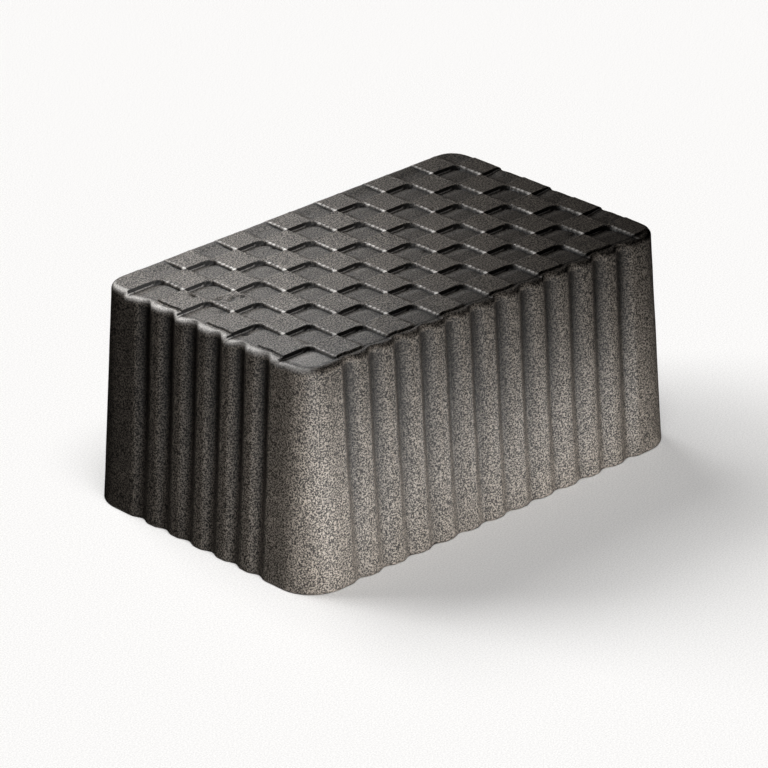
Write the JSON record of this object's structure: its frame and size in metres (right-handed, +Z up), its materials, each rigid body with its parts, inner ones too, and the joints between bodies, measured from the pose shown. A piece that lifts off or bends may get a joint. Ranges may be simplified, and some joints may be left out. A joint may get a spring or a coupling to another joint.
{
  "type": "charcoal block",
  "caption": "Moulded drawing-charcoal block: drafted, fluted side walls, rounded corners and a basket-weave relief on top, closed by a flat base.",
  "frame": {"origin": "centre of the flat base", "axes": "+X along the length towards the end where the tile field runs out to the edge, +Y towards the back side where the tile field runs out to the edge, +Z up through the basket-weave top"},
  "size_m": [0.0378, 0.024, 0.0172],
  "materials": {
    "pressed_charcoal": "matte, fine grained, slight graphite sheen",
    "core_charcoal": "matte, coarse grained",
    "base_charcoal": "matte, screeded flat"
  },
  "bodies": {
    "root": {"moulded_shell": "pressed_charcoal", "core_fill": "core_charcoal", "base_layer": "base_charcoal"}
  },
  "joints": []
}
